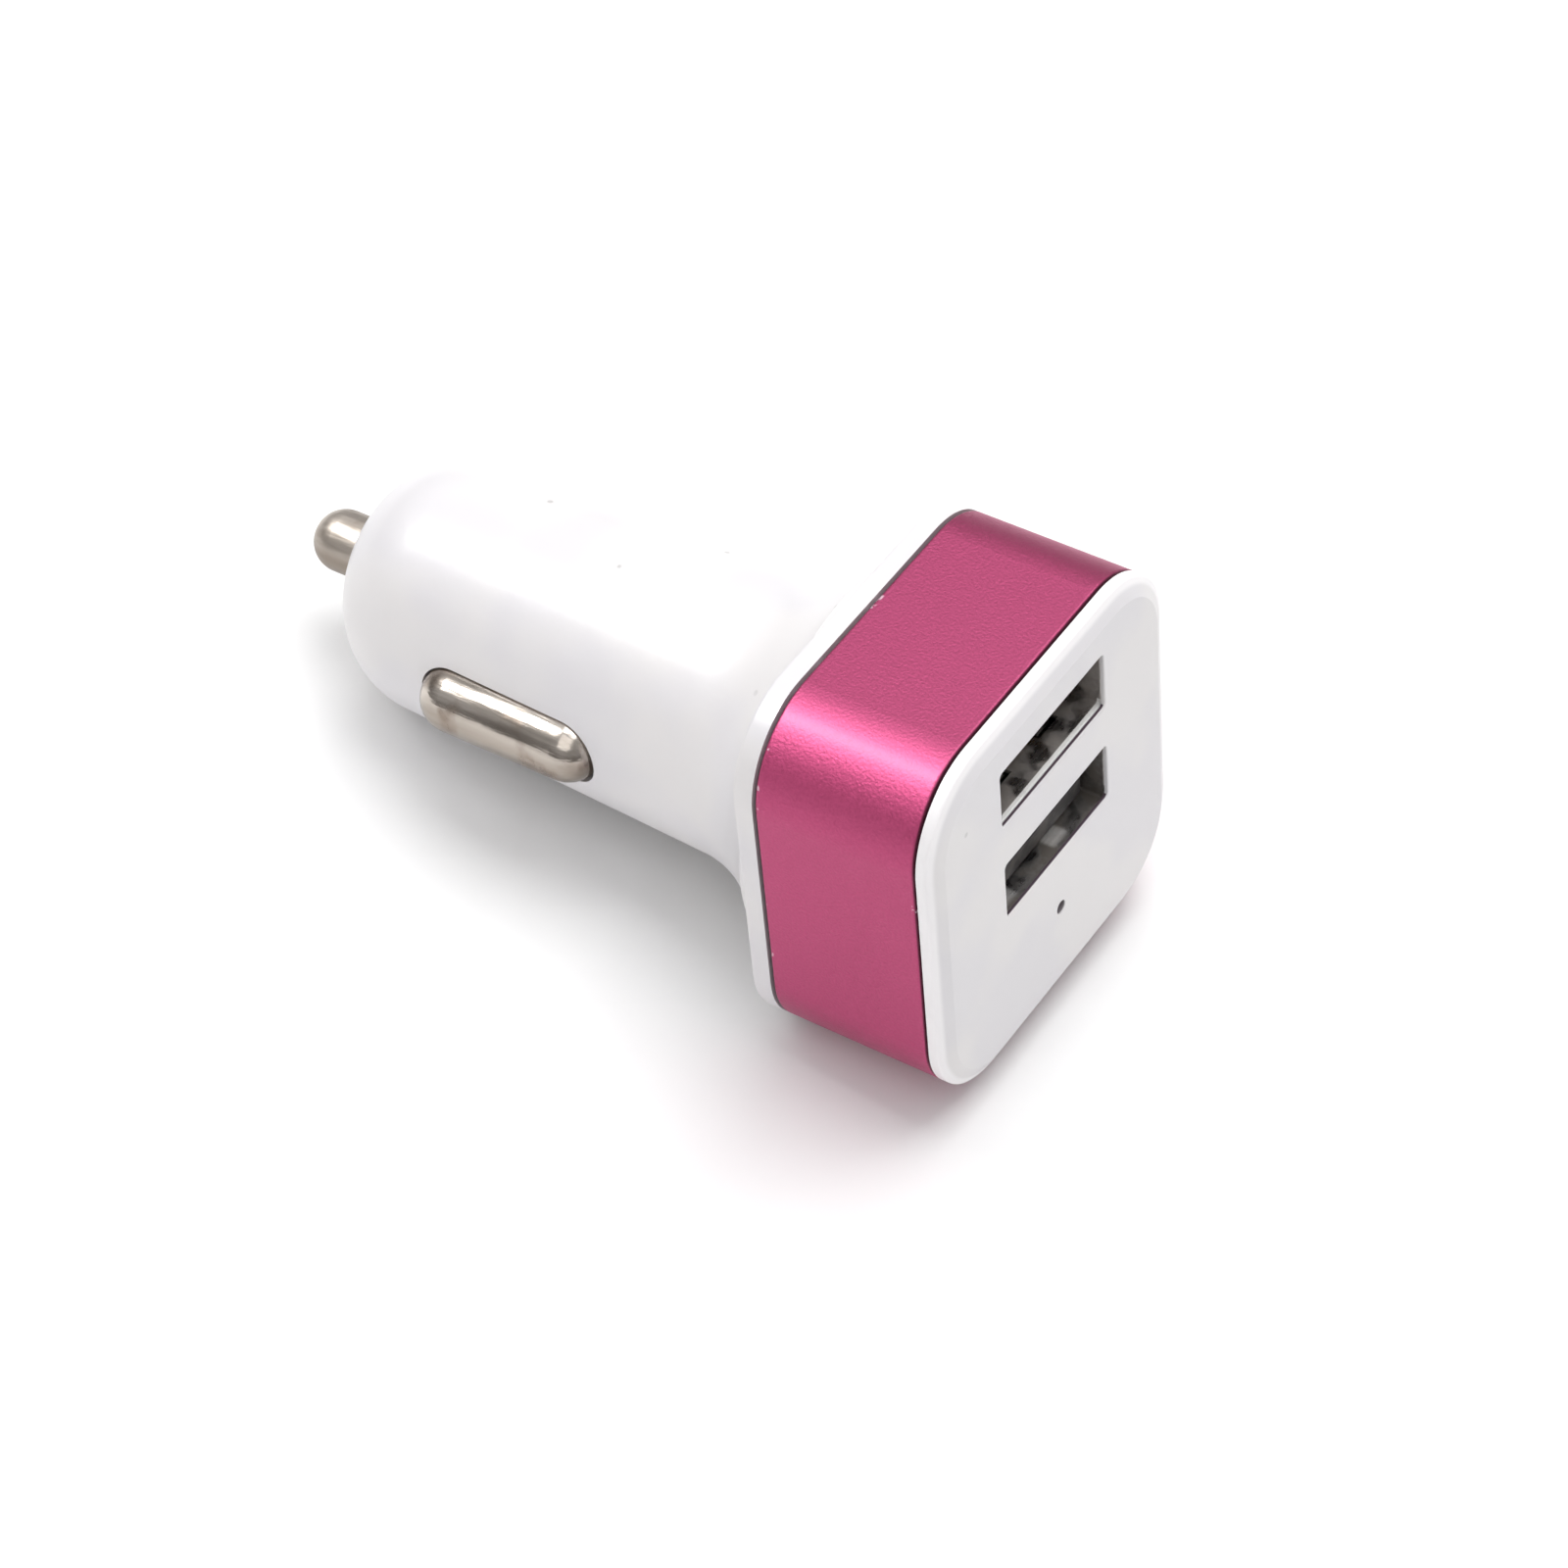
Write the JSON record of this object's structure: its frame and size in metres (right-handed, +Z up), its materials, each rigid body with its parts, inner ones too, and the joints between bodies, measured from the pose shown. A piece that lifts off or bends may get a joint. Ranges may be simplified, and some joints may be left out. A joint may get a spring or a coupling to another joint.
{
  "type": "car usb charger plug",
  "caption": "Car USB charger plug: square metal-banded head with USB sockets on its front face, round tapered barrel with sprung side contacts and a sprung pin in the nose.",
  "frame": {"origin": "on the table, below the middle of the plug's length and width", "axes": "+Z up; +X along the plug as seen from above, from the pin towards the sockets; the plug lies on the rear edge of its head and on its nose, so its own axis rises 8.92 degrees towards +X"},
  "size_m": [0.06, 0.028, 0.0298],
  "materials": {
    "white_plastic": "smooth satin white moulding",
    "pink_aluminium": "pink anodised satin",
    "nickel": "nickel plated, lightly polished",
    "spring_steel": "bare spring steel",
    "tinned_brass": "tin plated",
    "board_laminate": "green solder mask",
    "socket_steel": "nickel plated sheet",
    "black_plastic": "black moulding",
    "gold_contact": "gold flashed",
    "chip_black": "black moulding compound",
    "ceramic_tan": "fired ceramic",
    "ferrite": "dark ferrite",
    "copper_wire": "enamelled copper",
    "can_aluminium": "drawn can",
    "lamp_lens": "clear cast lens"
  },
  "bodies": {
    "housing": {"barrel_housing": "white_plastic", "head_band": "pink_aluminium", "front_cover": "white_plastic", "centre_spring": "spring_steel", "spring_terminal": "tinned_brass", "right_leaf_spring": "spring_steel", "left_leaf_spring": "spring_steel", "main_board": "board_laminate", "upper_socket_shell": "socket_steel", "lower_socket_shell": "socket_steel", "upper_socket_tongue": "black_plastic", "lower_socket_tongue": "black_plastic", "upper_socket_pins": "gold_contact", "lower_socket_pins": "gold_contact", "converter_chip": "chip_black", "converter_leads": "tinned_brass", "output_diode": "chip_black", "chip_resistors": "chip_black", "chip_capacitors": "ceramic_tan", "inductor_core": "ferrite", "inductor_winding": "copper_wire", "input_capacitor": "can_aluminium", "output_capacitor": "can_aluminium", "capacitor_leads": "tinned_brass", "indicator_lamp": "lamp_lens", "lamp_leads": "tinned_brass"},
    "centre_pin": {"centre_contact": "nickel"},
    "left_contact": {"left_side_contact": "nickel"},
    "right_contact": {"right_side_contact": "nickel"}
  },
  "joints": [
    {"name": "centre_pin_slide", "type": "slide", "parent": "housing", "child": "centre_pin", "axis": [0.9879, 0, 0.155], "range_m": [0, 0.0025], "stiffness_N_per_m": 800, "deforming": ["centre_spring"]},
    {"name": "left_contact_slide", "type": "slide", "parent": "housing", "child": "left_contact", "axis": [0, 1, 0], "range_m": [0, 0.0012], "stiffness_N_per_m": 1500, "deforming": ["left_leaf_spring"]},
    {"name": "right_contact_slide", "type": "slide", "parent": "housing", "child": "right_contact", "axis": [0, -1, 0], "range_m": [0, 0.0012], "stiffness_N_per_m": 1500, "deforming": ["right_leaf_spring"]}
  ]
}
